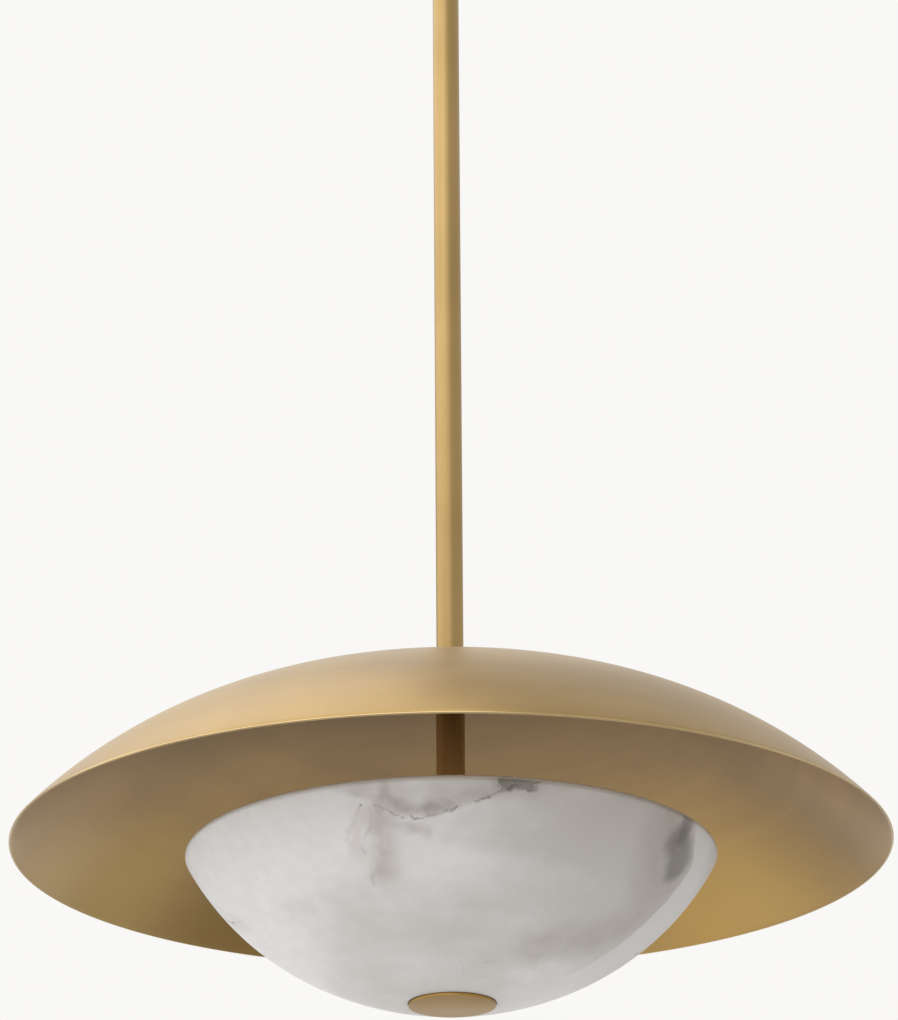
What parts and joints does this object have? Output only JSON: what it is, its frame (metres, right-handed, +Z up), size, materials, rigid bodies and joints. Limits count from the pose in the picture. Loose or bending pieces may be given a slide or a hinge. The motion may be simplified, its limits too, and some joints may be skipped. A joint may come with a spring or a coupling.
{
  "type": "pendant light",
  "caption": "Pendant light with a shallow spun brass dome over a veined alabaster bowl, hung on one rigid brass stem from a round canopy with a hang-straight ball swivel.",
  "frame": {"origin": "centre of the crossbar's slots on the ceiling plane; the light hangs below it", "axes": "+Z up, out of the ceiling face, along the stem; +X along the crossbar; +Y away from the viewer of the picture"},
  "size_m": [0.61, 0.61, 0.8902],
  "materials": {
    "steel": "zinc plated",
    "earth_screw": "green plated",
    "brass": "satin antique, brushed",
    "brass_fitting": "turned, satin antique",
    "nylon": "moulded",
    "alabaster": "honed, veined, milky",
    "rubber": "matte",
    "porcelain": "glazed",
    "cap_metal": "pressed",
    "opal_glass": "opal, satin"
  },
  "bodies": {
    "ceiling": {"crossbar": "steel", "ground_screw": "earth_screw", "hanger_nipple": "steel", "hanger_washer": "steel", "hanger_nut": "steel", "swivel_cup": "brass_fitting", "swivel_collar": "brass_fitting", "canopy": "brass"},
    "liner": {"swivel_liner": "nylon"},
    "stem": {"swivel_ball": "brass_fitting", "stem_neck": "brass_fitting", "stem": "brass", "stem_plug": "brass_fitting", "dome": "brass", "dome_flange": "brass_fitting", "spacer_tube": "brass", "lamp_pipe": "steel", "hub_lid": "brass_fitting", "hub_body": "brass_fitting", "lower_spacer": "brass_fitting", "stack_nut": "steel", "clamp_plate": "steel", "lampholders": "porcelain", "lampholder_nipples": "steel", "lampholder_shells": "brass_fitting", "lampholder_contacts": "brass_fitting"},
    "bowl": {"bowl": "alabaster", "upper_gasket": "rubber"},
    "finial": {"finial": "brass_fitting", "lower_gasket": "rubber"},
    "bulb_1": {"bulb_1_cap": "cap_metal", "bulb_1_globe": "opal_glass"},
    "bulb_2": {"bulb_2_cap": "cap_metal", "bulb_2_globe": "opal_glass"},
    "bulb_3": {"bulb_3_cap": "cap_metal", "bulb_3_globe": "opal_glass"}
  },
  "joints": [
    {"name": "swivel_tilt_x", "type": "hinge", "parent": "ceiling", "child": "liner", "pos_m": [0, 0, -0.0332], "axis": [1, 0, 0], "range_deg": [-18, 18]},
    {"name": "swivel_tilt_y", "type": "hinge", "parent": "liner", "child": "stem", "pos_m": [0, 0, -0.0332], "axis": [0, 1, 0], "range_deg": [-18, 18]},
    {"name": "bowl_lower", "type": "slide", "parent": "stem", "child": "bowl", "axis": [0, 0, -1], "range_m": [0, 0.12]},
    {"name": "finial_unscrew", "type": "slide", "parent": "bowl", "child": "finial", "axis": [0, 0, -1], "range_m": [0, 0.02]},
    {"name": "bulb_1_unscrew", "type": "slide", "parent": "stem", "child": "bulb_1", "axis": [0, -1, 0], "range_m": [0, 0.025]},
    {"name": "bulb_2_unscrew", "type": "slide", "parent": "stem", "child": "bulb_2", "axis": [0.866, 0.5, 0], "range_m": [0, 0.025]},
    {"name": "bulb_3_unscrew", "type": "slide", "parent": "stem", "child": "bulb_3", "axis": [-0.866, 0.5, 0], "range_m": [0, 0.025]}
  ]
}
